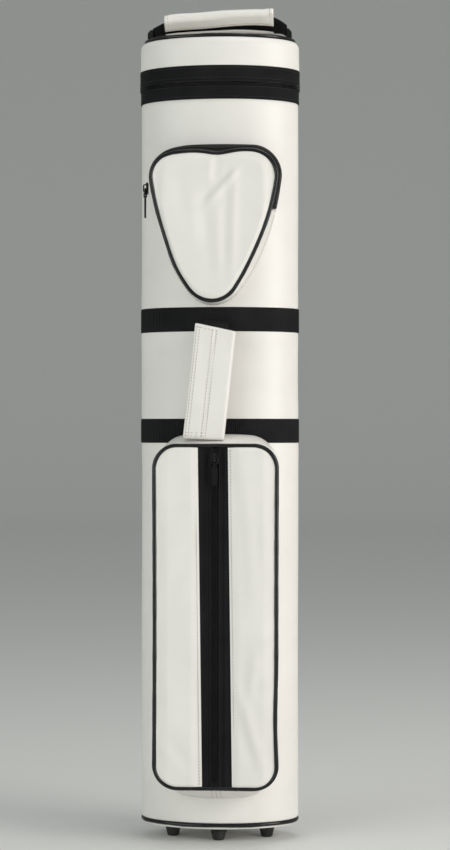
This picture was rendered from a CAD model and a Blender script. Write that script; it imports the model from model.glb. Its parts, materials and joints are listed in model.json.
import json
import math

import bmesh
import bpy
import numpy as np
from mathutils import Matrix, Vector


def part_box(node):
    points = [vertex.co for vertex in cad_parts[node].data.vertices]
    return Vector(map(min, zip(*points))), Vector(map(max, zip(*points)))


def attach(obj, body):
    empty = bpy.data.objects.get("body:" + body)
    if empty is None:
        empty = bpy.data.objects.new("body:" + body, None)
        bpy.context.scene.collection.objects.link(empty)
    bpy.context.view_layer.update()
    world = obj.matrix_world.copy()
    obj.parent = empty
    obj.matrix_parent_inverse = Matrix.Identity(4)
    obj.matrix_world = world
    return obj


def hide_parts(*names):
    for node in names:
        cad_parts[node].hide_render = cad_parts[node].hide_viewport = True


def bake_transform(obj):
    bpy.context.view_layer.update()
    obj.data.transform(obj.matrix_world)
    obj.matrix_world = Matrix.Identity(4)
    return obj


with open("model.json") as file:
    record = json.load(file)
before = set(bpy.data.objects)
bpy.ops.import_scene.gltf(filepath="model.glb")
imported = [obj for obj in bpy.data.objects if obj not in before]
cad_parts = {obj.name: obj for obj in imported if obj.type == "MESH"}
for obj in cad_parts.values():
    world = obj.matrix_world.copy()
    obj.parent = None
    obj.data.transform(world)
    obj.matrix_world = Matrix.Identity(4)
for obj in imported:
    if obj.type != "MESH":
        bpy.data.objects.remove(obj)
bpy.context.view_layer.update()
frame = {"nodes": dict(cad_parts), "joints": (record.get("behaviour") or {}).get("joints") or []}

# Shapes are worked out in millimetres around the axis of the oval body, and put in metres at the end.
coverLow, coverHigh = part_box("body_cover")
axisY = (coverLow.y + coverHigh.y) / 2 * 1000
halfWidth = (coverHigh.x - coverLow.x) / 2 * 1000
halfDepth = (coverHigh.y - coverLow.y) / 2 * 1000


def cadBox(node):
    low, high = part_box(node)
    shift = np.array([0, axisY, 0])
    return np.array(low) * 1000 - shift, np.array(high) * 1000 - shift


def joint(name):
    return next(j for j in frame["joints"] if j["name"] == name)


def jointPoint(name):
    return np.array(joint(name)["pos_m"]) * 1000 - [0, axisY, 0]


slots = {  # the record's finish of each material
    "whiteHide": "white_leatherette", "whiteThread": "white_leatherette", "blackHide": "black_piping",
    "blackWeb": "black_webbing", "blackTape": "black_zip", "blackNylon": "black_zip",
    "blackThread": "black_zip", "darkNap": "lining", "closedFoam": "foam", "footRubber": "foot_rubber",
}


def pointsAt(x, y, z):
    # points from three coordinates, each an array or one number for all
    return np.stack(np.broadcast_arrays(x, y, z), -1)


def putMesh(name, points, faces, material, body, node=None, slot=None, uv=None):
    mesh = bpy.data.meshes.new(name)
    place = (np.asarray(points, float).reshape(-1, 3) + [0, axisY, 0]) / 1000
    mesh.from_pydata(place.tolist(), [], [list(f) for f in faces])
    if uv is not None:
        layer = mesh.uv_layers.new(name="UVMap")
        layer.data.foreach_set("uv", np.asarray(uv, np.float32).ravel())
    work = bmesh.new()
    work.from_mesh(mesh)
    bmesh.ops.remove_doubles(work, verts=work.verts, dist=1e-6)
    bmesh.ops.dissolve_degenerate(work, edges=work.edges, dist=1e-7)
    bmesh.ops.recalc_face_normals(work, faces=work.faces)
    work.to_mesh(mesh)
    work.free()
    mesh.polygons.foreach_set("use_smooth", [True] * len(mesh.polygons))
    piece = bpy.data.objects.new(name, mesh)
    bpy.context.scene.collection.objects.link(piece)
    mesh.materials.append(material)
    if body:
        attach(piece, body)
    if node:
        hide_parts(node)
    slot = slot or slots.get(material.name)
    return piece


def gridFaces(rows, columns, wrapRows, wrapColumns):
    # quads between neighbours of a rows x columns grid; a wrapped side joins its last line to its first
    i = np.arange(rows if wrapRows else rows - 1)[:, None]
    j = np.arange(columns if wrapColumns else columns - 1)[None, :]
    nextI, nextJ = (i + 1) % rows, (j + 1) % columns
    corners = [i * columns + j, i * columns + nextJ, nextI * columns + nextJ, nextI * columns + j]
    return np.stack(np.broadcast_arrays(*corners), -1).reshape(-1, 4)


def gridUv(points, wrapRows, wrapColumns):
    # u runs down the rows and v across the columns, both in metres along the surface
    rows, columns = points.shape[:2]
    downLine, acrossLine = points[:, 0], points[0]
    down = np.r_[downLine, downLine[:1]] if wrapRows else downLine
    across = np.r_[acrossLine, acrossLine[:1]] if wrapColumns else acrossLine
    u = np.r_[0, np.cumsum(np.linalg.norm(np.diff(down, axis=0), axis=1))] / 1000
    v = np.r_[0, np.cumsum(np.linalg.norm(np.diff(across, axis=0), axis=1))] / 1000
    i = np.arange(len(u) - 1)[:, None]
    j = np.arange(len(v) - 1)[None, :]
    corners = [(i, j), (i, j + 1), (i + 1, j + 1), (i + 1, j)]
    pairs = [np.stack(np.broadcast_arrays(u[a], v[b]), -1) for a, b in corners]
    return np.stack(pairs, 2).reshape(-1, 2)


def putGrid(name, points, material, body, wrapRows=False, wrapColumns=False, capped=False, **more):
    rows, columns = points.shape[:2]
    faces = gridFaces(rows, columns, wrapRows, wrapColumns).tolist()
    uv = gridUv(points, wrapRows, wrapColumns)
    if capped:
        last = (rows - 1) * columns
        faces += [list(range(columns))[::-1], [last + k for k in range(columns)]]
        uv = np.r_[uv, np.zeros((2 * columns, 2))]
    return putMesh(name, points.reshape(-1, 3), faces, material, body, **more, uv=uv)


def putRing(*given, **more):
    # a section carried round until it meets itself
    return putGrid(*given, wrapRows=True, wrapColumns=True, **more)


def putStrip(*given, **more):
    # a closed section carried from one end to the other, with both ends capped
    return putGrid(*given, wrapColumns=True, capped=True, **more)


def twoSided(face, back):
    # closed sections from a front sheet and a back sheet on the same grid
    return np.concatenate([face, back[:, ::-1]], 1)


def smoothStep(low, high, value):
    # 0 below low, 1 above high, and 3t^2 - 2t^3 between them
    t = np.clip((value - low) / (high - low), 0, 1)
    return t * t * (3 - 2 * t)


def bump(value, centre, width):
    # bell curve: 1 at the centre, and 1/e one width away from it
    return np.exp(-((value - centre) / width) ** 2)


def crease(x, z, start, end, width, depth):
    # soft valley along the line from start to end, fading out at both ends
    line = np.array(end, float) - start
    length = np.hypot(*line)
    along = ((x - start[0]) * line[0] + (z - start[1]) * line[1]) / length**2
    aside = ((x - start[0]) * line[1] - (z - start[1]) * line[0]) / length
    fade = smoothStep(-0.15, 0.3, along) * (1 - smoothStep(0.7, 1.15, along))
    return -depth * fade * (bump(aside, 0, width) - 0.45 * bump(aside, 1.6 * width, width))


def resample(line, count, closed):
    # the same polyline with points at equal distances
    full = np.r_[line, line[:1]] if closed else line
    reach = np.r_[0, np.cumsum(np.linalg.norm(np.diff(full, axis=0), axis=1))]
    stops = np.linspace(0, reach[-1], count, endpoint=not closed)
    return np.stack([np.interp(stops, reach, full[:, k]) for k in range(full.shape[1])], 1)


def tangents(path, closed):
    # unit steps along a path, from each point's two neighbours
    if closed:
        ahead = np.roll(path, -1, 0) - np.roll(path, 1, 0)
    else:
        ahead = np.gradient(path, axis=0)
    return ahead / np.linalg.norm(ahead, axis=1)[:, None]


def tube(path, radius, side):
    # 12-sided circle carried round a closed path; side is a direction that never lies along the path
    ahead = tangents(path, True)
    across = np.cross(ahead, side)
    across /= np.linalg.norm(across, axis=1)[:, None]
    up = np.cross(across, ahead)
    turn = np.linspace(0, 2 * np.pi, 12, endpoint=False)[None, :, None]
    radius = np.broadcast_to(radius, len(path))[:, None, None]
    return path[:, None] + radius * (np.cos(turn) * across[:, None] + np.sin(turn) * up[:, None])


def ribbon(path, face, width, thick):
    # flat strap carried along a path: face is the direction its broad side looks in, at each point
    ahead = tangents(path, False)
    across = np.cross(ahead, face)
    across /= np.linalg.norm(across, axis=1)[:, None]
    out = np.cross(across, ahead)
    loop = roundedLoop(-0.5, 0.5, -0.5, 0.5, 0.2, 3)
    width = np.broadcast_to(width, len(path))[:, None, None]
    sideways = loop[None, :, :1] * width * across[:, None]
    return path[:, None] + sideways + loop[None, :, 1:] * thick * out[:, None]


def strapFace(path):
    # the broad side's direction of a strap that bends across x: its tangent turned a quarter
    ahead = np.gradient(path, axis=0)
    return pointsAt(0, -ahead[:, 2], ahead[:, 1])


def roundedLoop(low, high, floor, ceiling, radius, steps, fine=0):
    # closed outline of a rounded rectangle, anticlockwise; fine adds points every so far on its long sides
    corners = ((high, ceiling, 0), (low, ceiling, 90), (low, floor, 180), (high, floor, 270))
    points = []
    for x, z, first in corners:
        centreX = x - math.copysign(radius, x - (low + high) / 2)
        centreZ = z - math.copysign(radius, z - (floor + ceiling) / 2)
        for step in range(steps + 1):
            turn = math.radians(first + 90 * step / steps)
            points.append((centreX + radius * math.cos(turn), centreZ + radius * math.sin(turn)))
    loop = np.array(points)
    if not fine:
        return loop
    parts = []
    for a, b in zip(loop, np.roll(loop, -1, 0)):
        count = max(1, int(np.hypot(*(b - a)) / fine))
        parts.append(a + (b - a) * np.linspace(0, 1, count, endpoint=False)[:, None])
    return np.concatenate(parts)


def ovalAngles(count, first=0.0, last=2 * np.pi):
    # angles that step evenly along the body's oval
    dense = np.linspace(first, last, 4001)
    speed = np.hypot(halfWidth * np.sin(dense), halfDepth * np.cos(dense))
    reach = np.r_[0, np.cumsum((speed[1:] + speed[:-1]) / 2 * np.diff(dense))]
    whole = abs(last - first - 2 * np.pi) < 1e-9
    return np.interp(np.linspace(0, reach[-1], count, endpoint=not whole), reach, dense)


def ovalSolid(profile, angles, relief=None):
    # a closed (outward, level) profile carried round the oval; relief(angle, outward, level) pushes it out
    angle, out, level = np.broadcast_arrays(angles[:, None], profile[None, :, 0], profile[None, :, 1])
    if relief is not None:
        out = out + relief(angle, out, level)
    return pointsAt((halfWidth + out) * np.cos(angle), (halfDepth + out) * np.sin(angle), level)


def ovalDish(profile, across, deep, count):
    # an oval disc from a (share of the radius, level) profile that starts and ends on the axis
    angle = np.linspace(0, 2 * np.pi, count, endpoint=False)[:, None]
    share, level = profile[None, :, 0], profile[None, :, 1]
    return pointsAt(across * share * np.cos(angle), deep * share * np.sin(angle), level)


def ovalPath(outward, level, angle):
    # level line round the oval, so far outside it
    return pointsAt((halfWidth + outward) * np.cos(angle), (halfDepth + outward) * np.sin(angle), level)


def bodyDepth(x):
    # how far the body's front face stands at x
    return halfDepth * np.sqrt(np.clip(1 - (x / halfWidth) ** 2, 0, 1))


def beads(name, centres, along, outward, length, width, height, material, body):
    # the same small rounded bar at every centre: a six-sided prism with pinched ends
    sides, rings = 6, 4
    turn = np.linspace(0, 2 * np.pi, sides, endpoint=False)
    station = np.array([-0.5, -0.32, 0.32, 0.5])
    swell = np.array([0.45, 1.0, 1.0, 0.45])
    ahead = along / np.linalg.norm(along, axis=1)[:, None]
    across = np.cross(ahead, outward)
    across /= np.linalg.norm(across, axis=1)[:, None]
    up = np.cross(across, ahead)
    base = centres[:, None, None] + station[None, :, None, None] * length * ahead[:, None, None]
    rounding = swell[None, :, None, None] * (
        np.cos(turn)[None, None, :, None] * across[:, None, None] * width / 2
        + np.sin(turn)[None, None, :, None] * up[:, None, None] * height / 2
    )
    points = (base + rounding).reshape(-1, 3)
    one = gridFaces(rings, sides, False, True).tolist()
    one += [list(range(sides))[::-1], [(rings - 1) * sides + k for k in range(sides)]]
    faces = [[v + n * rings * sides for v in face] for n in range(len(centres)) for face in one]
    return putMesh(name, points, faces, material, body)


def stitches(name, path, outward, settings, material, body):
    # a row of short threads along a path, every settings["pitch"]
    reach = np.linalg.norm(np.diff(path, axis=0), axis=1).sum()
    count = max(2, int(reach / settings["pitch"]))
    spots = resample(path, count, False)
    ahead = tangents(spots, False)
    outward = np.asarray(outward, float)
    facing = np.broadcast_to(outward, spots.shape) if outward.ndim == 1 else resample(outward, count, False)
    size = settings["length"], settings["width"], settings["height"]
    return beads(name, spots, ahead, facing, *size, material, body)


def addNode(tree, kind, **inputs):
    item = tree.nodes.new(kind)
    for name, value in inputs.items():
        item.inputs[name.replace("_", " ")].default_value = value
    return item


def mathNode(tree, operation, first, second=None):
    item = tree.nodes.new("ShaderNodeMath")
    item.operation = operation
    for slot, value in enumerate((first, second)):
        if value is None:
            continue
        if isinstance(value, (int, float)):
            item.inputs[slot].default_value = value
        else:
            tree.links.new(value, item.inputs[slot])
    return item.outputs[0]


def effectGroup(name, inputs, outputs):
    # an empty node group with float inputs, given with their defaults, and float outputs
    group = bpy.data.node_groups.new(name, "ShaderNodeTree")
    for label, value in inputs.items():
        group.interface.new_socket(label, in_out="INPUT", socket_type="NodeSocketFloat").default_value = value
    for label in outputs:
        group.interface.new_socket(label, in_out="OUTPUT", socket_type="NodeSocketFloat")
    return group, group.nodes.new("NodeGroupInput"), group.nodes.new("NodeGroupOutput")


def scaledNoise(group, vector, scale, detail=3.0):
    noise = addNode(group, "ShaderNodeTexNoise", Detail=detail)
    group.links.new(vector, noise.inputs["Vector"])
    if isinstance(scale, (int, float)):
        noise.inputs["Scale"].default_value = scale
    else:
        group.links.new(scale, noise.inputs["Scale"])
    return noise.outputs["Fac"]


def makeGrain():
    # pebbled hide: small cells with sunken joints, fine pores over them, and slow changes of tone
    group, start, end = effectGroup("hideGrain", {"Scale": 900.0}, ("Height", "Tone", "Soft"))
    place = group.nodes.new("ShaderNodeTexCoord").outputs["Object"]
    cells = addNode(group, "ShaderNodeTexVoronoi", Randomness=0.9)
    cells.feature = "SMOOTH_F1"
    group.links.new(place, cells.inputs["Vector"])
    group.links.new(start.outputs["Scale"], cells.inputs["Scale"])
    pores = scaledNoise(group, place, mathNode(group, "MULTIPLY", start.outputs["Scale"], 2.6))
    slow = scaledNoise(group, place, 14.0)
    height = mathNode(group, "ADD", mathNode(group, "MULTIPLY", cells.outputs["Distance"], -0.8), pores)
    group.links.new(height, end.inputs["Height"])
    group.links.new(slow, end.inputs["Tone"])
    group.links.new(mathNode(group, "MULTIPLY", scaledNoise(group, place, 60.0), slow), end.inputs["Soft"])
    return group


def makeWeave():
    # crossing threads on the piece's own UV, in metres: long ribs one way and short picks the other
    group, start, end = effectGroup("threadWeave", {"Ribs": 1000.0, "Picks": 1400.0}, ("Height", "Tone"))
    place = group.nodes.new("ShaderNodeTexCoord")
    split = group.nodes.new("ShaderNodeSeparateXYZ")
    group.links.new(place.outputs["UV"], split.inputs[0])
    waves = []
    for axis, label in (("X", "Picks"), ("Y", "Ribs")):
        turns = mathNode(group, "MULTIPLY", split.outputs[axis], start.outputs[label])
        waves.append(mathNode(group, "SINE", mathNode(group, "MULTIPLY", turns, 2 * math.pi)))
    crossed = mathNode(group, "MULTIPLY", waves[0], waves[1])
    fuzz = scaledNoise(group, place.outputs["Object"], 2200.0)
    group.links.new(mathNode(group, "ADD", crossed, fuzz), end.inputs["Height"])
    group.links.new(scaledNoise(group, place.outputs["Object"], 25.0), end.inputs["Tone"])
    return group


def makeScuff():
    # thin scratches and rubbed patches, as a mask
    group, start, end = effectGroup("rubbedMarks", {"Amount": 0.5}, ("Mask",))
    place = group.nodes.new("ShaderNodeTexCoord").outputs["Object"]
    patches = scaledNoise(group, place, 45.0, 5.0)
    fine = scaledNoise(group, place, 700.0, 2.0)
    mixed = mathNode(group, "MULTIPLY", mathNode(group, "SUBTRACT", patches, 0.45), fine)
    scaled = mathNode(group, "MULTIPLY", mixed, mathNode(group, "MULTIPLY", start.outputs["Amount"], 8.0))
    mask = mathNode(group, "MAXIMUM", mathNode(group, "MINIMUM", scaled, 1.0), 0.0)
    group.links.new(mask, end.inputs["Mask"])
    return group


grainGroup, weaveGroup, scuffGroup = makeGrain(), makeWeave(), makeScuff()


def useGroup(tree, group, **inputs):
    item = tree.nodes.new("ShaderNodeGroup")
    item.node_tree = group
    for name, value in inputs.items():
        item.inputs[name].default_value = value
    return item


def mixColours(tree, mask, first, second):
    mix = tree.nodes.new("ShaderNodeMix")
    mix.data_type = "RGBA"
    for label, colour in (("A", first), ("B", second)):
        if isinstance(colour, tuple):
            mix.inputs[label].default_value = (*colour, 1)
        else:
            tree.links.new(colour, mix.inputs[label])
    tree.links.new(mask, mix.inputs["Factor"])
    return mix.outputs["Result"]


def remap(tree, value, low, high):
    # noise keeps mostly between 0.3 and 0.7, and that span becomes low to high
    item = addNode(tree, "ShaderNodeMapRange", From_Min=0.3, From_Max=0.7, To_Min=low, To_Max=high)
    tree.links.new(value, item.inputs["Value"])
    return item.outputs[0]


def newMaterial(name):
    material = bpy.data.materials.new(name)
    material.use_nodes = True
    tree = material.node_tree
    return material, tree, tree.nodes["Principled BSDF"]


def addBump(tree, shader, height, distance):
    item = addNode(tree, "ShaderNodeBump", Distance=distance)
    tree.links.new(height, item.inputs["Height"])
    tree.links.new(item.outputs["Normal"], shader.inputs["Normal"])


def hideMaterial(name, settings):
    # coated hide: two near tones, pebbled bump, a thin coat
    material, tree, shader = newMaterial(name)
    grain = useGroup(tree, grainGroup, Scale=settings["grain"])
    marks = useGroup(tree, scuffGroup, Amount=settings["scuffs"])
    tones = mixColours(tree, remap(tree, grain.outputs["Tone"], 0, 1), settings["dark"], settings["light"])
    colour = mixColours(tree, marks.outputs["Mask"], tones, settings["worn"])
    tree.links.new(colour, shader.inputs["Base Color"])
    low, high = settings["roughness"]
    tree.links.new(remap(tree, grain.outputs["Soft"], low, high), shader.inputs["Roughness"])
    shader.inputs["Specular IOR Level"].default_value = settings["shine"]
    shader.inputs["Coat Weight"].default_value = settings["coat"]
    shader.inputs["Coat Roughness"].default_value = 0.35
    addBump(tree, shader, grain.outputs["Height"], settings["depth"])
    return material


def wovenMaterial(name, settings):
    # cloth of crossing threads on the piece's UV, with a faint sheen
    material, tree, shader = newMaterial(name)
    weave = useGroup(tree, weaveGroup, Ribs=settings["ribs"], Picks=settings["picks"])
    mask = remap(tree, weave.outputs["Tone"], 0, 1)
    threads = mathNode(tree, "MULTIPLY", remap(tree, weave.outputs["Height"], 0.2, 1), mask)
    colour = mixColours(tree, threads, settings["dark"], settings["light"])
    tree.links.new(colour, shader.inputs["Base Color"])
    shader.inputs["Roughness"].default_value = settings["roughness"]
    shader.inputs["Specular IOR Level"].default_value = settings.get("shine", 0.2)
    shader.inputs["Sheen Weight"].default_value = settings["sheen"]
    shader.inputs["Sheen Roughness"].default_value = 0.5
    addBump(tree, shader, weave.outputs["Height"], settings["depth"])
    return material


def mouldedMaterial(name, settings):
    # moulded plastic, rubber, paint or metal: even colour with rubbed marks and a fine surface
    material, tree, shader = newMaterial(name)
    grain = useGroup(tree, grainGroup, Scale=settings["grain"])
    marks = useGroup(tree, scuffGroup, Amount=settings["scuffs"])
    colour = mixColours(tree, marks.outputs["Mask"], settings["colour"], settings["worn"])
    tree.links.new(colour, shader.inputs["Base Color"])
    low, high = settings["roughness"]
    tree.links.new(remap(tree, grain.outputs["Soft"], low, high), shader.inputs["Roughness"])
    shader.inputs["Metallic"].default_value = settings.get("metal", 0.0)
    shader.inputs["Specular IOR Level"].default_value = settings.get("shine", 0.5)
    addBump(tree, shader, grain.outputs["Height"], settings["depth"])
    return material


whiteHide = hideMaterial("whiteHide", {
    "dark": (0.755, 0.735, 0.70), "light": (0.80, 0.78, 0.745), "worn": (0.66, 0.64, 0.60), "grain": 1100.0,
    "scuffs": 0.12, "roughness": (0.42, 0.56), "shine": 0.45, "coat": 0.12, "depth": 0.00006,
})
blackHide = hideMaterial("blackHide", {
    "dark": (0.004, 0.004, 0.005), "light": (0.008, 0.008, 0.009), "worn": (0.03, 0.03, 0.03),
    "grain": 1500.0, "scuffs": 0.3, "roughness": (0.14, 0.22), "shine": 0.36, "coat": 0.0, "depth": 0.00002,
})
blackWeb = wovenMaterial("blackWeb", {
    "dark": (0.002, 0.002, 0.003), "light": (0.014, 0.014, 0.015), "ribs": 700.0, "picks": 460.0,
    "roughness": 0.6, "sheen": 0.0, "depth": 0.00018,
})
blackTape = wovenMaterial("blackTape", {
    "dark": (0.002, 0.002, 0.003), "light": (0.012, 0.012, 0.013), "ribs": 850.0, "picks": 1100.0,
    "roughness": 0.62, "sheen": 0.0, "depth": 0.00012,
})
darkNap = wovenMaterial("darkNap", {
    "dark": (0.02, 0.02, 0.024), "light": (0.06, 0.06, 0.068), "ribs": 1700.0, "picks": 1700.0,
    "roughness": 0.95, "sheen": 0.6, "depth": 0.00012,
})
blackNylon = mouldedMaterial("blackNylon", {
    "colour": (0.006, 0.006, 0.007), "worn": (0.02, 0.02, 0.02), "grain": 3000.0, "scuffs": 0.3,
    "roughness": (0.2, 0.32), "shine": 0.22, "depth": 0.00001,
})
blackEnamel = mouldedMaterial("blackEnamel", {
    "colour": (0.006, 0.006, 0.007), "worn": (0.10, 0.095, 0.09), "grain": 2600.0, "scuffs": 0.25,
    "roughness": (0.22, 0.38), "shine": 0.25, "depth": 0.00001, "metal": 0.3,
})
footRubber = mouldedMaterial("footRubber", {
    "colour": (0.008, 0.008, 0.009), "worn": (0.06, 0.06, 0.058), "grain": 1800.0, "scuffs": 0.5,
    "roughness": (0.55, 0.75), "depth": 0.00004,
})
shellPlastic = mouldedMaterial("shellPlastic", {
    "colour": (0.10, 0.10, 0.10), "worn": (0.2, 0.2, 0.2), "grain": 1500.0, "scuffs": 0.3,
    "roughness": (0.45, 0.6), "depth": 0.00004,
})
tubePlastic = mouldedMaterial("tubePlastic", {
    "colour": (0.035, 0.035, 0.038), "worn": (0.08, 0.08, 0.08), "grain": 2200.0, "scuffs": 0.3,
    "roughness": (0.6, 0.8), "depth": 0.00005,
})
closedFoam = mouldedMaterial("closedFoam", {
    "colour": (0.045, 0.045, 0.05), "worn": (0.09, 0.09, 0.095), "grain": 1300.0, "scuffs": 0.5,
    "roughness": (0.85, 0.95), "depth": 0.0003,
})
fibreBoard = mouldedMaterial("fibreBoard", {
    "colour": (0.30, 0.22, 0.14), "worn": (0.42, 0.33, 0.22), "grain": 700.0, "scuffs": 0.8,
    "roughness": (0.75, 0.9), "depth": 0.0001,
})
zincSteel = mouldedMaterial("zincSteel", {
    "colour": (0.55, 0.55, 0.57), "worn": (0.35, 0.33, 0.3), "grain": 2500.0, "scuffs": 0.5,
    "roughness": (0.25, 0.4), "depth": 0.00001, "metal": 1.0,
})
whiteThread = mouldedMaterial("whiteThread", {
    "colour": (0.42, 0.40, 0.38), "worn": (0.36, 0.34, 0.32), "grain": 4000.0, "scuffs": 0.4,
    "roughness": (0.5, 0.7), "depth": 0.00002,
})
blackThread = mouldedMaterial("blackThread", {
    "colour": (0.012, 0.012, 0.013), "worn": (0.05, 0.05, 0.05), "grain": 4000.0, "scuffs": 0.4,
    "roughness": (0.5, 0.7), "depth": 0.00002,
})
print("materials ready")

thread = {"pitch": 3.2, "length": 2.3, "width": 0.55, "height": 0.5}

bodyLook = {"steps": 220, "rows": 110, "hem": 1.0, "puff": 0.45, "seamDip": 0.5, "seamWidth": 2.0}


def coverRelief(angle, out, level):
    # slow waves in the hide, and a soft swell beside each band where it is pulled tight
    waves = 0.16 * np.sin(3 * angle + level / 47) + 0.12 * np.sin(5 * angle - level / 71)
    swell = 0
    for band in ("lower_band", "upper_band"):
        low, high = cadBox(band)
        swell = swell + bump(level, low[2] - 9, 8) + bump(level, high[2] + 9, 8)
    front = 0.5 - 0.5 * np.sin(angle)
    seam = -bodyLook["seamDip"] * bump((angle - np.pi / 2) * halfWidth, 0, bodyLook["seamWidth"])
    shell = (out > -0.55).astype(float)
    return shell * (waves + bodyLook["puff"] * swell * (0.4 + 0.6 * front) + seam)


def makeBodyCover():
    low, high = coverLow.z * 1000, coverHigh.z * 1000
    hem, rows = bodyLook["hem"], bodyLook["rows"]
    outer = np.stack([np.zeros(rows), np.linspace(low + 2, high - 1, rows)], 1)
    foot = np.array([(-1.1, low), (-0.6, low + 0.3), (-0.15, low + 1)])
    head = np.array([(-0.3, high - 0.3), (-0.7, high)])
    inner = np.array([(-hem, high), (-1.1, high - 2), (-1.1, low + 40)])
    profile = np.concatenate([foot, outer, head, inner])
    points = ovalSolid(profile, ovalAngles(bodyLook["steps"]), coverRelief)
    putRing("bodyCover", points, whiteHide, "case", node="body_cover")
    # the cover's own seam runs down the back, with a row of stitches on each side
    for side in (-1, 1):
        levels = np.linspace(low + 8, cadBox("lower_band")[0][2] - 3, 60)
        for part, run in enumerate((
            levels,
            np.linspace(cadBox("lower_band")[1][2] + 3, cadBox("upper_band")[0][2] - 3, 30),
            np.linspace(cadBox("upper_band")[1][2] + 3, high - 4, 60),
        )):
            path = pointsAt(side * 3.6, halfDepth + 0.1, run)
            stitches(f"backSeam{part}{'LR'[side > 0]}", path, (0, 1, 0), thread, whiteThread, "case")


def pipingRadius(count, radius):
    turn = np.linspace(0, 2 * np.pi, count, endpoint=False)
    return radius * (1 + 0.03 * np.sin(17 * turn) + 0.02 * np.sin(41 * turn))


def makeOvalPiping(name, node, body):
    low, high = cadBox(node)
    radius, level, count = 2.05, (low[2] + high[2]) / 2, 240
    outward = (high[0] - low[0]) / 2 - radius - halfWidth
    path = ovalPath(outward, level, ovalAngles(count))
    path[:, 2] += 0.25 * np.sin(np.linspace(0, 14 * np.pi, count, endpoint=False))
    points = tube(path, pipingRadius(count, radius), (0, 0, 1))
    putRing(name, points, blackHide, body, node=node)


def makeBottom():
    low, high = cadBox("bottom_panel")
    across, deep, thick = high[0], high[1], high[2] - low[2]
    share = np.array([0, 0.3, 0.6, 0.85, 0.96, 0.99, 1, 1, 0.99, 0.6, 0])
    level = low[2] + thick * np.array([0, 0, 0, 0.0, 0.04, 0.15, 0.4, 0.9, 1, 1, 1])
    putGrid(
        "bottomPanel", ovalDish(np.stack([share, level], 1), across, deep, 160), whiteHide, "case",
        wrapRows=True, node="bottom_panel",
    )
    low, high = cadBox("base_pad")
    share = np.array([0, 0.5, 0.9, 0.97, 1, 1, 0.97, 0.9, 0.5, 0])
    level = low[2] + (high[2] - low[2]) * np.array([0, 0, 0, 0.08, 0.3, 0.7, 0.92, 1, 1, 1])
    pad = putGrid(
        "basePad", ovalDish(np.stack([share, level], 1), high[0], high[1], 96), closedFoam, "case",
        wrapRows=True, node="base_pad",
    )


footLook = {
    "profile": (  # (radius, level) from the screw's hole round the outside and back
        (3.6, 6.0), (3.6, 0.5), (3.9, 0.0), (5.4, 0.0), (6.0, 0.5), (6.3, 1.6), (7.6, 7.0), (8.3, 10.3),
        (9.2, 10.9), (9.4, 11.6), (9.4, 13.6), (9.0, 14.6), (8.2, 14.9), (1.7, 14.9), (1.7, 6.0),
    ),
    "sides": 40,
}


def makeFeet():
    turn = np.linspace(0, 2 * np.pi, footLook["sides"], endpoint=False)[:, None]
    profile = np.array(footLook["profile"])
    low, high = cadBox("rubber_feet")
    reach = (high - low) / 2 - profile[:, 0].max()
    points, faces = [], []
    for x, y in ((-reach[0], 0), (reach[0], 0), (0, -reach[1]), (0, reach[1])):
        radius = profile[None, :, 0]
        one = pointsAt(x + radius * np.cos(turn), y + radius * np.sin(turn), profile[None, :, 1])
        offset = len(points) * footLook["sides"] * len(profile)
        faces += (gridFaces(footLook["sides"], len(profile), True, True) + offset).tolist()
        points.append(one.reshape(-1, 3))
    putMesh("rubberFeet", np.concatenate(points), faces, footRubber, "case", node="rubber_feet")


def makeLinings():
    for name, node, body, thick, corner in (
        ("mouthLining", "mouth_lining", "case", 0.9, 0.4), ("lidLining", "lid_lining", "lid", 0.8, 0.35),
    ):
        low, high = cadBox(node)
        out = high[0] - halfWidth
        loop = roundedLoop(out - thick, out, low[2], high[2], corner, 3, 6)
        putRing(name, ovalSolid(loop, ovalAngles(160)), darkNap, body, node=node)


zipLook = {"rib": 0.2, "ribPitch": 1.5, "teeth": 220, "tooth": (0.62, 1.3), "hem": 0.8}


def zipSpan(margin):
    # the angles of the zip, from one side of the back hinge round the front to the other
    edge = math.acos((cadBox("body_hinge_tape")[1][0] + margin) / halfWidth)
    return np.pi - edge, 2 * np.pi + edge


def makeTape(name, low, high, outward, body, node):
    # tape with ribs along its length; its top edge is a rounded hem
    first, last = zipSpan(0.6)
    loop = roundedLoop(outward - zipLook["hem"], outward, low, high, 0.35, 3, 0.3)

    def ribs(angle, out, level):
        outer = (out > outward - 0.1).astype(float)
        turns = 2 * np.pi * (level - low) / zipLook["ribPitch"]
        return outer * zipLook["rib"] * np.cos(turns + 0.7 * np.sin(5 * angle))

    points = ovalSolid(loop, ovalAngles(230, first, last), ribs)
    putStrip(name, points, blackTape, body, node=node)


def zipLine(outward, level, count):
    return ovalPath(outward, level, ovalAngles(count, *zipSpan(2.5)))


def ovalNormal(points):
    out = np.stack([points[:, 0] / halfWidth**2, points[:, 1] / halfDepth**2, np.zeros(len(points))], 1)
    return out / np.linalg.norm(out, axis=1)[:, None]


def makeTeeth(name, low, high, shift, body):
    # one side's teeth take every second place along the zip
    line = zipLine(1.25, (low + high) / 2, 2 * zipLook["teeth"])[shift::2]
    up = np.broadcast_to((0.0, 0.0, 1.0), line.shape)
    beads(name, line, up, ovalNormal(line), high - low, *zipLook["tooth"], blackNylon, body)


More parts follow.
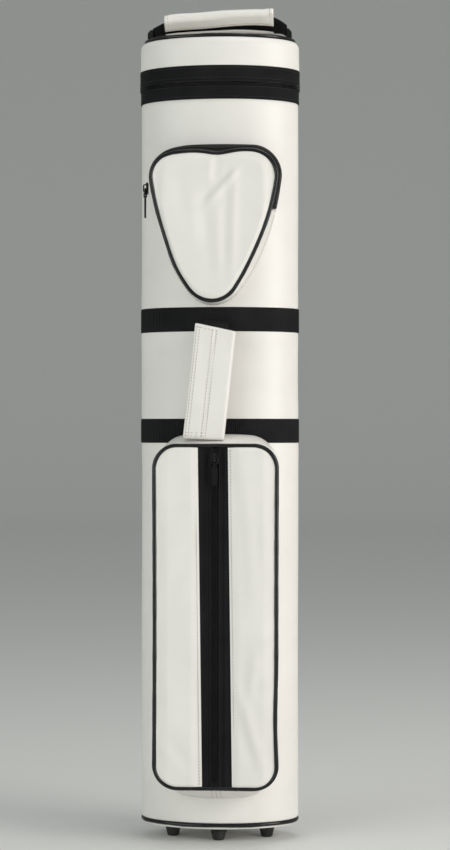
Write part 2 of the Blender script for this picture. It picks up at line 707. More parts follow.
def makeLidZip():
    bodyLow, bodyHigh = cadBox("body_zip")
    lidLow, lidHigh = cadBox("lid_zip")
    makeTape("bodyTape", bodyLow[2] - 0.6, bodyHigh[2] - 0.4, 0.75, "case", "body_zip")
    makeTape("lidTape", lidLow[2] + 0.4, lidHigh[2] + 0.6, 1.5, "lid", "lid_zip")
    makeTeeth("bodyTeeth", bodyHigh[2] - 2.8, bodyHigh[2] + 0.6, 0, "case")
    makeTeeth("lidTeeth", lidLow[2] - 0.6, lidLow[2] + 2.8, 1, "lid")
    row = {"pitch": 2.4, "length": 1.6, "width": 0.6, "height": 0.5}
    for name, level, outward, body in (
        ("bodyTapeRow", bodyHigh[2] - 4.0, 0.95, "case"),
        ("bodyTapeEdge", bodyLow[2] + 2.0, 0.95, "case"),
        ("lidTapeRow", lidLow[2] + 4.0, 1.7, "lid"),
        ("lidTapeEdge", lidHigh[2] - 2.0, 1.7, "lid"),
    ):
        line = zipLine(outward, level, 400)
        stitches(name, line, ovalNormal(line), row, blackThread, body)


hingeLook = {"outward": 0.9, "thick": 1.0, "lidStep": 0.7, "seam": 796.0, "rib": 0.12, "ribPitch": 2.2}


def makeHingeStrip():
    # one woven strip at the back, which bends with the lid
    low, high = cadBox("body_hinge_tape"), cadBox("lid_hinge_tape")
    half, bottom, top = low[1][0], low[0][2], high[1][2]
    x = np.linspace(-half, half, 40)[:, None]
    level = np.linspace(bottom, top, 36)[None, :]
    out = hingeLook["outward"]
    depth = (halfDepth + out) * np.sqrt(1 - (x / (halfWidth + out)) ** 2)
    depth = depth + hingeLook["lidStep"] * smoothStep(-3, 3, level - hingeLook["seam"])
    ribs = hingeLook["rib"] * np.cos(2 * np.pi * x / hingeLook["ribPitch"])
    face = pointsAt(x, depth + ribs, level)
    points = twoSided(face, face - [0, hingeLook["thick"], 0])
    strip = putStrip("hingeStrip", points, blackWeb, None, slot="black_zip")
    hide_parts("body_hinge_tape", "lid_hinge_tape")
    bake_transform(strip)


lidLook = {"shoulder": 9.0, "puff": 0.3}


def makeLid():
    low, high = cadBox("lid_cover")
    out, top, radius = high[0] - halfWidth, high[2], lidLook["shoulder"]
    pipingLow, pipingHigh = cadBox("top_piping")
    pipingOut = (pipingHigh[0] - pipingLow[0]) / 2 - 2.1 - halfWidth
    rim = pipingOut + 1.9
    centre = (out - radius, top - radius)
    sweep = np.linspace(0, math.acos((rim - centre[0]) / radius), 14)
    shoulder = np.stack([centre[0] + radius * np.cos(sweep), centre[1] + radius * np.sin(sweep)], 1)
    side = np.stack([np.full(14, out), np.linspace(low[2] + 1.2, centre[1] - 1, 14)], 1)
    hem = np.array([(out - 1.0, low[2] - 0.2), (out - 0.35, low[2]), (out - 0.05, low[2] + 0.5)])
    inner = np.array([(rim, shoulder[-1][1] - 1.2), (out - 4.0, top - 5.6), (out - 1.05, centre[1])])
    profile = np.concatenate([hem, side, shoulder, inner])

    def relief(angle, outward, level):
        waves = np.sin(4 * angle + level / 9) + 0.6 * np.sin(7 * angle)
        return lidLook["puff"] * waves * (outward > out - 0.6) * 0.5

    points = ovalSolid(profile, ovalAngles(200), relief)
    putRing("lidCover", points, whiteHide, "lid", node="lid_cover")

    low, high = cadBox("lid_top_panel")
    share = np.array([0, 0.15, 0.3, 0.45, 0.6, 0.72, 0.82, 0.9, 0.95, 0.98, 1, 1, 0.9, 0])
    drop = np.array([0, 0, 0.02, 0.03, 0.05, 0.08, 0.12, 0.25, 0.45, 0.7, 1.2, 2.6, 2.7, 2.7])
    points = ovalDish(np.stack([share, high[2] + 0.5 - drop], 1), high[0], high[1], 180)
    x, y = points[..., 0], points[..., 1]
    pulled = sum(bump(x, side * 72, 10) * bump(y, 0, 12) for side in (-1, 1))
    wave = 0.25 * np.sin(x / 13 + y / 29) * np.sin(y / 17 - x / 41)
    points[..., 2] += (points[..., 2] > high[2] - 1.2) * (wave + 0.8 * pulled - 0.2)
    putGrid("lidTopPanel", points, whiteHide, "lid", wrapRows=True, node="lid_top_panel")

    low, high = cadBox("lid_pad")
    share = np.array([0, 0.1, 0.25, 0.4, 0.55, 0.7, 0.82, 0.9, 0.96, 1, 1, 0.9, 0])
    level = low[2] + np.array([0, 0, 0.1, 0.2, 0.3, 0.6, 1.2, 2.2, 3.8, 6, 8.5, 8.8, 8.8])
    points = ovalDish(np.stack([share, level], 1), high[0], high[1], 160)
    x, y = points[..., 0], points[..., 1]
    quilt = bump(np.sin(np.pi * (x + y) / 46), 0, 0.12) + bump(np.sin(np.pi * (x - y) / 46), 0, 0.12)
    points[..., 2] += (points[..., 2] < low[2] + 4) * 1.1 * np.clip(quilt, 0, 1.3)
    pad = putGrid("lidPad", points, darkNap, "lid", wrapRows=True, node="lid_pad", slot="foam")


bandLook = {"rib": 2.2, "ribDepth": 0.22, "steps": 1160, "sunk": 0.9}


def makeBand(name, node):
    low, high = cadBox(node)
    out = high[0] - halfWidth
    loop = roundedLoop(-0.4, out - bandLook["sunk"], low[2], high[2], 0.4, 3, 2.4)
    angles = ovalAngles(bandLook["steps"])
    reach = np.linspace(0, 1, bandLook["steps"], endpoint=False)
    girth = 2 * np.pi * math.sqrt((halfWidth**2 + halfDepth**2) / 2)
    ribs = np.cos(2 * np.pi * reach * round(girth / bandLook["rib"]))

    def relief(angle, outward, level):
        flat = smoothStep(0, 1.6, np.minimum(level - low[2], high[2] - level))
        return (outward > 0.4) * (bandLook["ribDepth"] * ribs[:, None] * flat + 0.12 * np.sin(3 * angle))

    putRing(name, ovalSolid(loop, angles, relief), blackWeb, "case", node=node)


def outline(segments, count):
    # closed outline from lines (x, z, x, z) and arcs (x, z, radius, first, last), evenly spaced
    parts = []
    for segment in segments:
        if len(segment) == 4:
            parts.append(np.linspace(segment[:2], segment[2:], 40, endpoint=False))
        else:
            x, z, radius, first, last = segment
            turn = np.radians(np.linspace(first, last, 60, endpoint=False))
            parts.append(np.stack([x + radius * np.cos(turn), z + radius * np.sin(turn)], 1))
    return resample(np.concatenate(parts), count, True)


def rectangleOutline(centre, half, corner, count):
    x, z = centre
    right, left, top, bottom = x + half[0], x - half[0], z + half[1], z - half[1]
    return outline([
        (right, z, right, top - corner), (right - corner, top - corner, corner, 0, 90),
        (right - corner, top, left + corner, top), (left + corner, top - corner, corner, 90, 180),
        (left, top - corner, left, bottom + corner), (left + corner, bottom + corner, corner, 180, 270),
        (left + corner, bottom, right - corner, bottom), (right - corner, bottom + corner, corner, 270, 360),
        (right, bottom + corner, right, z),
    ], count)


def teardropOutline(centre, top, bottom, half, topRadius, bottomRadius, count):
    # flat top, two corners, long bowed sides and a round foot; the side arcs touch both circles
    sideRadius = 300
    cornerX, cornerZ, footZ = half - topRadius, top - topRadius, bottom + bottomRadius
    toFoot, toCorner = sideRadius - bottomRadius, sideRadius - topRadius
    apart = math.hypot(cornerX, cornerZ - footZ)
    along = (toFoot**2 - toCorner**2 + apart**2) / (2 * apart)
    aside = math.sqrt(toFoot**2 - along**2)
    unit = (cornerX / apart, (cornerZ - footZ) / apart)
    sideX = along * unit[0] - aside * unit[1]
    sideZ = footZ + along * unit[1] + aside * unit[0]
    low = math.degrees(math.atan2(footZ - sideZ, -sideX))
    high = math.degrees(math.atan2(cornerZ - sideZ, cornerX - sideX))
    return outline([
        (centre, top, centre - cornerX, top), (centre - cornerX, cornerZ, topRadius, 90, 180 - high),
        (centre - sideX, sideZ, sideRadius, 180 - high, 180 - low),
        (centre, footZ, bottomRadius, 180 - low, 360 + low),
        (centre + sideX, sideZ, sideRadius, low, high), (centre + cornerX, cornerZ, topRadius, high, 90),
        (centre + cornerX, top, centre, top),
    ], count)


def gussetWall(base, front, depth, thick, steps, puff, seat):
    # the wall between an outline on the body and the same outline at the pocket's face, as a closed skin
    share = np.r_[np.linspace(0, 1, steps), np.linspace(1, 0, steps)]
    inside = np.r_[np.zeros(steps), np.ones(steps)] * thick
    ahead = tangents(np.c_[front, np.zeros(len(front))], True)
    out = np.stack([ahead[:, 1], -ahead[:, 0]], 1)
    seatDepth = -(bodyDepth(base[:, 0]) + seat(base[:, 1]))
    flat = base[:, None] + (front - base)[:, None] * share[None, :, None]
    swell = puff(np.arange(len(front))[:, None] / len(front), share[None, :]) * np.sin(np.pi * share)[None, :]
    flat = flat + out[:, None] * (swell - inside[None, :])[..., None]
    y = seatDepth[:, None] + (-depth - seatDepth)[:, None] * share[None, :]
    return pointsAt(flat[..., 0], y, flat[..., 1])


def spanAt(points, x):
    # the outline's lowest and highest level at each x
    left, right = np.argmin(points[:, 0]), np.argmax(points[:, 0])
    ring = np.roll(points, -left, axis=0)
    turn = (right - left) % len(points)
    halves = [ring[: turn + 1], np.concatenate([ring[turn:], ring[:1]])[::-1]]
    levels = [np.interp(x, np.maximum.accumulate(half[:, 0]), half[:, 1]) for half in halves]
    return np.minimum(*levels), np.maximum(*levels)


def facePanel(points, left, right, columns, rows, depth, thick, puff, shear=None):
    # panel inside an outline between two x; puff(x, z) lifts its face, shear(x, z) moves it sideways
    stations = left + (right - left) * (0.5 - 0.5 * np.cos(np.linspace(0, np.pi, columns)))
    low, high = spanAt(points, stations)
    up = 0.5 - 0.5 * np.cos(np.linspace(0, np.pi, rows))
    x = np.broadcast_to(stations[:, None], (columns, rows))
    z = low[:, None] + (high - low)[:, None] * up[None, :]
    edge = np.sqrt(np.clip((z - low[:, None]) * (high[:, None] - z), 0, None)) / 30
    if shear is not None:
        x = x + shear(x, z)
    face = pointsAt(x, -depth - puff(x, z, np.clip(edge, 0, 1)), z)
    return twoSided(face, pointsAt(x, -depth + thick, z))


def makePocketPiping(name, front, depth, count, node):
    # cord along the outline of a pocket's face
    cord = resample(pointsAt(front[:, 0], -depth, front[:, 1]), count, True)
    putRing(name, tube(cord, pipingRadius(count, 2.25), (0, 1, 0)), blackHide, "case", node=node)


upperLook = {
    "centre": -3.0, "top": 721.0, "bottom": 566.7, "half": 64.0, "corner": 26.0, "foot": 27.0, "face": 72.0,
    "flareTop": 10.0, "flareFoot": 4.0, "flareSide": 4.0, "zipFoot": 660.0, "count": 300,
    "creases": (  # from (x, z), to (x, z), width, depth; a negative depth is a ridge
        ((24, 702), (-12, 662), 4.2, -2.2), ((2, 716), (-1, 690), 4.0, 1.2), ((20, 700), (17, 590), 5, -1.5),
        ((-12, 690), (-10, 620), 8, 0.9), ((0, 668), (5, 590), 6, -0.9), ((-40, 700), (-30, 650), 7, 0.6),
    ),
}


def upperOutline(flare, inset=0.0):
    look = upperLook
    line = teardropOutline(
        look["centre"], look["top"] + flare * look["flareTop"] - inset,
        look["bottom"] - flare * look["flareFoot"] + inset, look["half"] + flare * look["flareSide"] - inset,
        look["corner"] + 4 * flare - inset, look["foot"] + flare - inset, look["count"],
    )
    high = smoothStep(690, 721, line[:, 1])
    sag = (1 - flare) * (2.6 * bump(line[:, 0], 2, 13) - 1.0 * bump(line[:, 0], 27, 14))
    line[:, 1] -= high * (sag + 1.8 * bump(line[:, 0], -48, 13))
    right = smoothStep(-3, 30, line[:, 0])
    line[:, 0] += right * (2.2 * smoothStep(600, 680, line[:, 1]) + 4.0 * flare * bump(line[:, 1], 612, 45))
    line[:, 0] -= (1 - right) * (3.0 * bump(line[:, 1], 598, 26) + 1.5 * flare * bump(line[:, 1], 600, 30))
    return line


def makeUpperPocket():
    look = upperLook
    front, base = upperOutline(0), upperOutline(1)
    isZip = front[:, 1] > look["zipFoot"]
    start = np.argmax(isZip & ~np.roll(isZip, 1))
    order = np.roll(np.arange(len(front)), -start)
    zipCount = isZip.sum()

    def noSeat(level):
        return np.full(len(level), 0.15)

    def softPuff(share, depthShare):
        return 0.9 + 0.3 * np.sin(share * 60) * depthShare

    wall = gussetWall(base, front, look["face"] - 0.6, 1.3, 9, softPuff, noSeat)[order]
    putStrip("upperGusset", wall[zipCount - 1:], whiteHide, "case", node="upper_pocket_gusset")

    def ribPuff(share, depthShare):
        return 1.0 + 0.25 * np.cos(depthShare * 34)

    tape = gussetWall(base, front, look["face"] - 0.6, 1.2, 26, ribPuff, noSeat)[order]
    putStrip("upperZipTape", tape[: zipCount + 1], blackTape, "case", node="upper_zip")
    # the coil runs along the middle of the zip gusset
    middle = tape[2:zipCount - 1, 15]
    outer = middle - tape[2:zipCount - 1, 36]
    outer = outer / np.linalg.norm(outer, axis=1)[:, None]
    line = resample(middle + outer * 0.5, 190, False)
    facing = resample(outer, 190, False)
    across = np.cross(tangents(line, False), facing)
    for side, shift in ((-1, 0), (1, 1)):
        spots = (line + across * side * 1.15)[shift::2]
        beads(
            f"upperTeeth{'LR'[side > 0]}", spots, across[shift::2], facing[shift::2], 2.9, 0.75, 1.2,
            blackNylon, "case",
        )

    inner = upperOutline(0, 1.4)
    leftmost, rightmost = inner[:, 0].min() + 0.1, inner[:, 0].max() - 0.1

    def panelPuff(x, z, edge):
        edge = edge * smoothStep(leftmost, leftmost + 14, x) * (1 - smoothStep(rightmost - 14, rightmost, x))
        folds = sum(crease(x, z, *fold) for fold in look["creases"])
        return 0.8 + 2.6 * edge + folds * edge

    panel = facePanel(inner, leftmost, rightmost, 90, 90, look["face"], 1.2, panelPuff)
    putStrip("upperPanel", panel, whiteHide, "case", node="upper_pocket_panel")
    makePocketPiping("upperPiping", front, look["face"], 320, "upper_pocket_piping")
    # stitches on the white gusset, beside the body and beside the piping
    for name, column in (("upperHemRow", 2), ("upperFaceRow", 7)):
        line = wall[zipCount + 4:-4, column]
        facing = line - wall[zipCount + 4:-4, 17 - column]
        stitches(name, line + 0.15 * facing, facing, thread, whiteThread, "case")


lowerLook = {
    "centre": (0.5, 240.0), "half": (63.5, 176.5), "corner": 24.0, "face": 80.0, "flareTop": 12.0,
    "flareFoot": 15.0, "flareSide": 0.6, "count": 420, "tape": 15.5, "lean": 2.2, "toothPitch": 1.5,
    "seat": 0.15, "bandSeat": 1.6,
    "creases": (  # as on the upper pocket
        ((24, 170), (50, 82), 6, -1.4), ((42, 205), (36, 150), 6, -1.2), ((22, 150), (52, 172), 7, 0.9),
        ((-20, 330), (-52, 250), 9, 0.6), ((30, 398), (40, 250), 7, -0.9), ((-50, 120), (-24, 80), 7, 0.6),
    ),
}


def lowerOutline(flare, inset=0.0):
    look = lowerLook
    x, z = look["centre"]
    rise = flare * (look["flareTop"] - look["flareFoot"]) / 2
    grow = flare * (look["flareTop"] + look["flareFoot"]) / 2
    half = (look["half"][0] + flare * look["flareSide"] - inset, look["half"][1] + grow - inset)
    line = rectangleOutline((x, z + rise), half, look["corner"] + 5 * flare - inset, look["count"])
    # the long sides bow in a little half way down, and the right side more near its foot
    share = np.sin(np.pi * np.clip((line[:, 1] - 63) / 353, 0, 1))
    line[:, 0] -= np.sign(line[:, 0] - x) * 0.8 * share
    line[:, 0] -= 1.5 * bump(line[:, 1], 130, 40) * (line[:, 0] > 30)
    # where it flares, the foot and the top are bowed, deepest in the middle
    away = np.clip(np.abs(line[:, 0] - x) / look["half"][0], 0, 1) ** 3
    reach = smoothStep(60, 175, np.abs(line[:, 1] - z))
    bow = np.where(line[:, 1] < z, 0.9 * look["flareFoot"], -0.5 * look["flareTop"])
    line[:, 1] += flare * away * reach * bow
    return line


def makeLowerPocket():
    look = lowerLook
    front, base = lowerOutline(0), lowerOutline(1)
    bandLow, bandHigh = cadBox("lower_band")

    def bandSeat(level):
        # the gusset stands further out where it lies on the band
        rising = smoothStep(bandLow[2] - 3, bandLow[2], level)
        falling = smoothStep(bandHigh[2], bandHigh[2] + 3, level)
        return look["seat"] + look["bandSeat"] * rising * (1 - falling)

    def softPuff(share, depthShare):
        return 1.3 + 0.5 * np.sin(share * 80) * depthShare + 0.4 * np.sin(share * 33)

    wall = gussetWall(base, front, look["face"] - 0.6, 1.3, 10, softPuff, bandSeat)
    putRing("lowerGusset", wall, whiteHide, "case", node="lower_pocket_gusset")
    foot = np.argmin(np.abs(front[:, 0] - 1) + 1000 * (front[:, 1] > 100))
    for number, shift in enumerate((-2, 0, 2)):
        line = wall[foot + shift, 1:10]
        stitches(f"lowerFootRow{number}", line - [0, 0, 0.3], (0, 0, -1), thread, whiteThread, "case")
    inner = lowerOutline(0, 1.4)
    low, high = inner[:, 1].min(), inner[:, 1].max()
    levels = low + (high - low) * (0.5 - 0.5 * np.cos(np.linspace(0, np.pi, 120)))
    leftmost, rightmost = inner[:, 0].min() + 0.1, inner[:, 0].max() - 0.1

    def leanAt(z):
        return look["lean"] * (z - look["centre"][1]) / look["half"][1]

    def panelShear(x, z):
        outer = np.where(x < 0, leftmost, rightmost)
        return -leanAt(z) * np.clip((outer - x) / (outer - np.sign(x) * look["tape"]), 0, 1)

    def panelPuff(x, z, edge):
        away = np.minimum(np.abs(x) - look["tape"] + 3, np.where(x < 0, x - leftmost, rightmost - x))
        edge = edge * smoothStep(0, 14, away)
        folds = sum(crease(x, z, *fold) for fold in look["creases"])
        return 0.8 + 2.2 * edge + folds * smoothStep(0, 0.4, edge) + 0.25 * np.sin(z / 23 + x / 9) * edge

    tapeLeft, tapeRight = -look["tape"] - leanAt(levels), look["tape"] - leanAt(levels)
    for side, start, end, node in (
        ("Left", leftmost, -look["tape"], "lower_panel_left"),
        ("Right", look["tape"], rightmost, "lower_panel_right"),
    ):
        panel = facePanel(inner, start, end, 50, 150, look["face"], 1.2, panelPuff, panelShear)
        putStrip("lowerPanel" + side, panel, whiteHide, "case", node=node)
        # the panel's edge beside the zip is turned in and stitched
        edge = tapeLeft - 2.6 if side == "Left" else tapeRight + 2.6
        line = pointsAt(edge, -look["face"] - 1.75, levels)[8:-8]
        stitches("lowerEdgeRow" + side, line, (0, -1, 0), thread, whiteThread, "case")

    # the zip's two tapes, with woven ridges beside the coil
    across = np.linspace(0, 1, 48)[None, :]
    for side, sign, node in (("Left", -1, "lower_zip_left"), ("Right", 1, "lower_zip_right")):
        outerEdge = tapeLeft - 1.5 if sign < 0 else tapeRight + 1.5
        x = sign * 0.25 + (outerEdge - sign * 0.25)[:, None] * across
        away = np.abs(x)
        lift = 0.3 * np.cos(away * 3.1) * smoothStep(5, 6, away) * (1 - smoothStep(12, 14, away))
        lift = lift + 1.1 * bump(away, 4.3, 0.8) + 0.5 * bump(away, 10.5, 0.8)
        face = pointsAt(x, -look["face"] - 0.1 - lift, levels[:, None])
        back = pointsAt(x, -look["face"] + 0.7, levels[:, None])
        putStrip("lowerTape" + side, twoSided(face, back), blackTape, "case", node=node)
        count = int((high - low - 12) / look["toothPitch"])
        toothLevels = np.linspace(low + 6, high - 6, count) + look["toothPitch"] / 4 * sign
        spots = pointsAt(sign * 1.25, -look["face"] - 1.2, toothLevels)
        sideways, outward = (np.broadcast_to(way, spots.shape) for way in ((1.0, 0.0, 0.0), (0.0, -1.0, 0.0)))
        beads("lowerTeeth" + side, spots, sideways, outward, 3.2, 0.8, 1.5, blackNylon, "case")
        row = {"pitch": 2.2, "length": 1.5, "width": 0.5, "height": 0.5}
        line = pointsAt(sign * 4.1, -look["face"] - 0.85, np.linspace(low + 3, high - 3, 80))
        stitches("lowerTapeRow" + side, line, (0, -1, 0), row, blackThread, "case")

    makePocketPiping("lowerPiping", front, look["face"], 420, "lower_pocket_piping")


sideLook = {
    "half": 21.0, "halfLength": 60.5, "front": -18.7, "back": -11.0, "corner": 3.2, "rows": 46,
    "flapBack": -19.0, "flapThick": 1.3, "threadDepth": -20.45,
    # (y, z) of the strap's upper end: out from the band, over and down inside the wrap
    "strapBend": ((0.4, 50.2), (-3, 54), (-8, 58.5), (-13, 60.5), (-14.8, 57), (-14.8, 40)),
    "anchor": (-6, 6, -3.0, 3.2, 1.2), "anchorSpan": (50.8, 56),
}


def sideSlant(x, z):
    # the wrap's top edge slopes down to the right and its foot hangs lower on the left
    share = np.clip((x + 21) / 42, 0, 1)
    upper = smoothStep(0, 60, z)
    lower = smoothStep(0, 60, -z)
    return z - upper * (3.6 + 4.4 * share) - lower * 3.0 * (1 - share)


def sidePlace(local):
    # from the side handle's own frame (x across, y in, z along) to the body's
    axis = np.array(joint("side_handle_swing")["axis"])
    across = np.array([axis[2], 0, -axis[0]])
    spot = np.asarray(local, float)
    inward = np.array([0, 1.0, 0])
    turned = spot[..., :1] * across + spot[..., 1:2] * inward + spot[..., 2:] * axis
    return jointPoint("side_handle_swing") + turned


def makeSideHandle():
    look = sideLook
    halfLength = look["halfLength"]
    loop = roundedLoop(-look["half"], look["half"], look["front"], look["back"], look["corner"], 6, 3.0)
    along = np.linspace(-halfLength, halfLength, look["rows"])
    x, y, z = np.broadcast_arrays(loop[None, :, 0], loop[None, :, 1], along[:, None])
    soft = 0.35 * np.sin(z / 14 + x / 7) * (y < -15) + 1.3 * bump(x, 2, 9) * (y < -15)
    outer = pointsAt(x, y - soft * 0.6, sideSlant(x, z))
    inner = outer * [0.93, 1, 1]
    middle = (look["front"] + look["back"]) / 2
    inner[..., 1] = middle + (outer[..., 1] - middle) * 0.62
    inner[..., 2] = sideSlant(x, z * 0.99)
    sleeve = np.concatenate([outer, inner[::-1]], 0)
    wrap = putRing("sideWrap", sidePlace(sleeve), whiteHide, "side_handle", node="side_wrap")
    facing = sidePlace([0, -1, 0]) - sidePlace([0, 0, 0])
    run = np.linspace(-57, 57, 30)
    line = sidePlace(pointsAt(1.6, look["front"] - 0.8, sideSlant(1.6, run)))
    stitches("sideMiddleRow", line, facing, thread, whiteThread, "side_handle")

    # flap: a turned sheet with rounded edges, its free edge on the left
    left, right, lower, upper = -look["half"] - 0.4, -0.5, -halfLength + 0.6, halfLength - 0.6

    def flapLift(x, z):
        share = (x - left) / (right - left)
        return 0.25 * np.sin(z / 11) * (1 - share) + 0.7 * (1 - share) ** 2 + 0.15 * np.sin(x / 3 + z / 19)

    def flapPoint(x, z, depth):
        return pointsAt(x, depth - flapLift(x, z), sideSlant(x, z))

    across = np.linspace(0, 1, 22)[None, :]
    x = left + (right - left) * across
    z = np.linspace(lower, upper, 44)[:, None]
    edges = 1 - 0.5 * bump(across, 0, 0.04) - 0.8 * smoothStep(0.8, 1, across)
    face = flapPoint(x, z, look["flapBack"] - look["flapThick"] * edges)
    flap = twoSided(face, flapPoint(x, z, look["flapBack"]))
    putStrip("sideFlap", sidePlace(flap), whiteHide, "side_flap", node="side_flap")

    run = np.linspace(lower + 3, upper - 3, 40)
    rows = [
        ("flapEdgeRow", left + 2.4, run), ("flapSecondRow", left + 5.2, run),
        ("flapMiddleRow", right - 2.0, run),
    ]
    span = np.linspace(left + 3, right - 2, 12)
    rows += [
        ("flapTopRow", span, upper - 3), ("flapFootRow", span, lower + 3),
        ("flapFootSecond", span, lower + 6),
    ]
    for name, x, z in rows:
        line = sidePlace(flapPoint(x, z, look["threadDepth"]))
        stitches(name, line, facing, thread, whiteThread, "side_flap")

    # webbing: out from the upper band, down inside the wrap and back to the lower band
    half = resample(np.array(look["strapBend"]), 24, False)
    route = np.concatenate([half, [[-14.8, 0]], (half * [1, -1])[::-1]])
    route = resample(route, 80, False)
    path = pointsAt(7.5 * smoothStep(-30, -60, route[:, 1]), route[:, 0], route[:, 1])
    width = 25 - 12 * smoothStep(-9, -1, route[:, 0])
    strap = ribbon(path, strapFace(path), width, 2.0)
    putStrip("sideStrap", sidePlace(strap), blackWeb, "side_handle", node="side_strap")
    loop = roundedLoop(*look["anchor"], 4)
    for name, side, node in (("Upper", 1, "side_anchor_upper"), ("Lower", -1, "side_anchor_lower")):
        levels = np.linspace(*look["anchorSpan"], 8) * side
        tab = pointsAt(loop[None, :, 0], loop[None, :, 1], levels[:, None])
        putStrip("sideAnchor" + name, sidePlace(tab), blackWeb, "case", node=node)


topLook = {
    "left": -58.4, "right": 57.3, "half": 21.8, "thick": 4.9, "rise": 15.2, "gap": (-3.5, 2.5), "slope": 3.2,
    "lean": 30.0, "twist": 5.0, "anchorHalf": 9.0, "anchorFoot": 846.8, "anchorSpan": (71.4, 76.5),
}


def topPlace(local, lean):
    # from the top handle's own frame (x along, y across, z up when it stands) to the body's
    spot = np.asarray(local, float)
    pivot = jointPoint("top_handle_swing")
    turn = np.radians(lean)
    y = spot[..., 1] * np.cos(turn) + spot[..., 2] * np.sin(turn)
    z = -spot[..., 1] * np.sin(turn) + spot[..., 2] * np.cos(turn)
    return pointsAt(spot[..., 0], pivot[1] + y, pivot[2] + z)


def topLean(x):
    # the wrap leans back a little more towards the right
    return topLook["lean"] + topLook["twist"] * (x / 58)


def topRise(x):
    # height of the strap's arch above its pivot line
    arch = np.sqrt(np.clip(1 - (np.abs(x) / 73.5) ** 4.5, 0, 1))
    return arch * (topLook["rise"] + topLook["slope"] * x / 58)


def makeTopHandle():
    look = topLook
    x = np.linspace(-71, 71, 90)
    path = pointsAt(x, 0, topRise(x))
    ahead = np.gradient(path, axis=0)
    face = pointsAt(-ahead[:, 2], 0, ahead[:, 0])
    width = 25 - 7 * smoothStep(56, 70, np.abs(x))
    strap = ribbon(path, face, width, 2.0)
    putStrip("topStrap", topPlace(strap, look["lean"]), blackWeb, "top_handle", node="top_strap")

    # wrap: a flattened roll, open underneath along a gap between its two edges
    rows, half, thick = 60, look["half"], look["thick"]
    x = np.linspace(look["left"], look["right"], rows)[:, None]
    front, back = look["gap"]
    bend = np.radians(np.linspace(-90, 90, 14))
    rightTurn = np.stack([half - thick + thick * np.cos(bend), thick * np.sin(bend)], 1)
    leftTurn = np.stack([thick - half - thick * np.cos(bend), -thick * np.sin(bend)], 1)
    section = resample(np.concatenate([[(back, -thick)], rightTurn, leftTurn, [(front, -thick)]]), 64, False)
    across, up = section[None, :, 0], section[None, :, 1]
    loose = (up < 0) * (across > front) * 2.2 * smoothStep(10, 50, x)
    across = across * (1 + 0.02 * np.sin(x / 9)) - (up < 0) * (across < back) * 1.0 * np.sin(x / 21)
    soft = 0.35 * np.sin(x / 8 + across / 5) * (up > 0) + 0.25 * np.sin(x / 17)
    peak = 3.0 * smoothStep(44, 57, x) * bump(across, -16, 8)
    outer = pointsAt(x, across, topRise(x) + up + soft + peak - loose)
    inner = pointsAt(x, across * 0.95, topRise(x) + up * 0.75 + soft + peak - loose)
    skin = twoSided(outer, inner)
    wrap = putStrip(
        "topWrap", topPlace(skin, topLean(skin[..., 0])), whiteHide, "top_handle", node="top_wrap",
    )
    facing = topPlace([0, 0, -1.0], look["lean"]) - jointPoint("top_handle_swing")
    for name, column in (("topRowFront", 61), ("topRowBack", 2)):
        line = outer[2:-2, column]
        placed = topPlace(line + [0, 0, -0.25], topLean(line[:, 0]))
        stitches(name, placed, facing, thread, whiteThread, "top_handle")
    for end, row in (("Left", 2), ("Right", -3)):
        line = topPlace(outer[row] * [1, 1.01, 1] + [0, 0, 0.2], topLean(outer[row][:, 0]))
        middle = line.mean(0)
        stitches("topEndRow" + end, line[4:-4], (line - middle)[4:-4], thread, whiteThread, "top_handle")

    half, foot = look["anchorHalf"], look["anchorFoot"]
    for name, side, node in (("Left", -1, "top_anchor_left"), ("Right", 1, "top_anchor_right")):
        loop = roundedLoop(-half, half, foot, cadBox(node)[1][2] + 4, 3.2, 5)
        across = np.linspace(*look["anchorSpan"], 8) * side
        sink = smoothStep(73.5, 76.5, np.abs(across))[:, None] * 3.0
        level = loop[None, :, 1] - sink * (loop[None, :, 1] > 850)
        tab = pointsAt(across[:, None], loop[None, :, 0], level)
        putStrip("topAnchor" + name, tab, blackWeb, "lid", node=node)


ringLook = {"radius": 2.9, "inner": (52.6, 52.4), "outer": (54.6, 54.0), "width": 22.0, "thick": 1.2}


def makeRingLoops():
    # webbing from the band down round each ring and back up
    for level in ("upper", "lower"):
        low, high = cadBox(f"ring_loop_{level}")
        pivot = jointPoint(f"d_ring_{level}_swing")
        turn = np.radians(np.linspace(-150, 90, 22))
        bend = pivot[1:] + ringLook["radius"] * np.stack([np.cos(turn), np.sin(turn)], 1)
        top = high[2] - 0.3
        (innerTop, innerFoot), (outerFoot, outerTop) = ringLook["inner"], ringLook["outer"]
        start = [(innerTop, top), (innerFoot, pivot[2] + 3)]
        end = [(outerFoot, pivot[2] + 4.5), (outerTop, top)]
        route = resample(np.concatenate([start, bend, end]), 50, False)
        path = pointsAt(0, route[:, 0], route[:, 1])
        loop = ribbon(path, strapFace(path), ringLook["width"], ringLook["thick"])
        putStrip("ringLoop" + level.capitalize(), loop, blackWeb, "case", node=f"ring_loop_{level}")


frameFinish = {
    "body_core": shellPlastic, "lid_core": shellPlastic, "bottom_board": fibreBoard,
    "mouth_plate": closedFoam, "foot_screws": zincSteel,
    "upper_slider": blackEnamel, "lower_slider": blackEnamel, "lid_slider": blackEnamel,
    "upper_pull": blackNylon, "lower_pull": blackNylon, "lid_pull": blackNylon,
    "d_ring_upper": blackEnamel, "d_ring_lower": blackEnamel,
}


def finishFrame():
    for name, piece in frame["nodes"].items():
        material = frameFinish.get(name, tubePlastic if "tube" in name else None)
        if material:
            piece.data.materials.clear()
            piece.data.materials.append(material)


roomLook = {
    "floor": (0.78, 0.78, 0.77), "near": -12000.0, "far": 7000.0, "bend": 2500.0, "half": 14000.0,
    "height": 9000.0, "sky": (0.80, 0.84, 0.82), "skyStrength": 0.42,
}


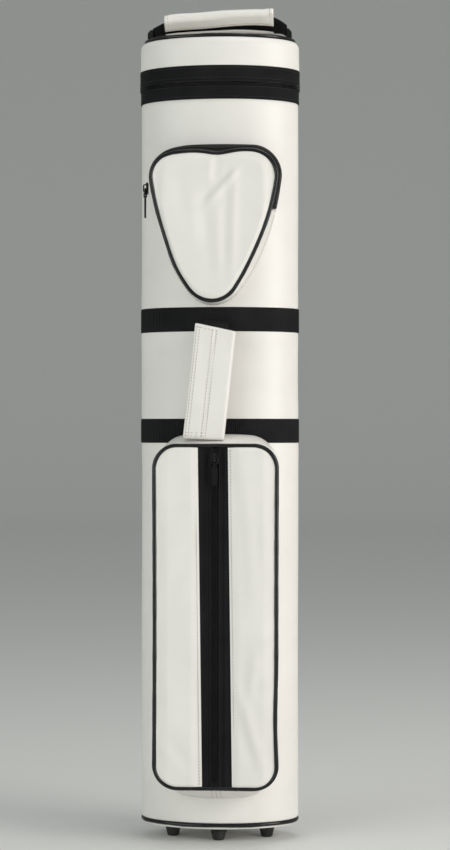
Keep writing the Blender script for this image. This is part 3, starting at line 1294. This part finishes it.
def makeRoom():
    # pale floor that bends up into a wall far behind the case, in a quarter circle
    turn = np.radians(np.linspace(0, 90, 24))
    bend, far, half = roomLook["bend"], roomLook["far"], roomLook["half"]
    curve = np.stack([far + bend * np.sin(turn), bend - bend * np.cos(turn)], 1)
    profile = np.concatenate([[(roomLook["near"], 0), (0, 0)], curve, [(far + bend, roomLook["height"])]])
    sweep = pointsAt(np.array([[-half, half]]), profile[:, :1], profile[:, 1:])
    material, tree, shader = newMaterial("paleFloor")
    shader.inputs["Base Color"].default_value = (*roomLook["floor"], 1)
    shader.inputs["Roughness"].default_value = 0.85
    putGrid("floor", sweep, material, None)
    world = bpy.data.worlds.new("room")
    bpy.context.scene.world = world
    world.use_nodes = True
    sky = world.node_tree.nodes["Background"]
    sky.inputs["Color"].default_value = (*roomLook["sky"], 1)
    sky.inputs["Strength"].default_value = roomLook["skyStrength"]


lightLook = {  # place and size in metres, power in watts, colour
    "keyLight": ((2.1, -1.25, 0.8), (1.2, 2.0), 45, (1.0, 0.965, 0.93)),
    "fillLight": ((-1.5, -1.6, 0.7), (1.4, 1.8), 17, (0.95, 1.0, 0.955)),
    "topLight": ((0.3, -0.2, 2.3), (1.2, 1.2), 9, (1.0, 0.99, 0.97)),
}


def makeLights():
    middle = Vector((0, axisY / 1000, 0.43))
    for name, (place, sizes, energy, colour) in lightLook.items():
        lamp = bpy.data.lights.new(name, "AREA")
        lamp.shape = "RECTANGLE"
        lamp.size, lamp.size_y = sizes
        lamp.energy, lamp.color = energy, colour
        item = bpy.data.objects.new(name, lamp)
        bpy.context.scene.collection.objects.link(item)
        item.location = place
        item.rotation_euler = (middle - Vector(place)).to_track_quat("-Z", "Y").to_euler()


cameraLook = {"distance": 2250.0, "level": 434.8, "turn": 3.7, "lens": 89.3, "shift": (0.006, 0.0035)}


def makeCamera():
    look = cameraLook
    lens = bpy.data.cameras.new("camera")
    lens.lens, lens.sensor_width = look["lens"], 36
    lens.shift_x, lens.shift_y = look["shift"]
    lens.clip_end = 100
    item = bpy.data.objects.new("camera", lens)
    bpy.context.scene.collection.objects.link(item)
    turn, far = math.radians(look["turn"]), look["distance"] / 1000
    item.location = (far * math.sin(turn), axisY / 1000 - far * math.cos(turn), look["level"] / 1000)
    item.rotation_euler = (math.pi / 2, 0, turn)
    bpy.context.scene.camera = item
    bpy.context.scene.view_settings.view_transform = "Standard"


makeCamera()
makeLights()
makeRoom()
finishFrame()
makeBodyCover()
makeBottom()
makeFeet()
makeOvalPiping("bottomPiping", "bottom_piping", "case")
makeOvalPiping("topPiping", "top_piping", "lid")
makeLinings()
print("body ready")
makeLidZip()
makeHingeStrip()
makeLid()
print("lid ready")
makeBand("upperBand", "upper_band")
makeBand("lowerBand", "lower_band")
makeUpperPocket()
makeLowerPocket()
print("pockets ready")
makeSideHandle()
makeTopHandle()
makeRingLoops()
print("handles ready")
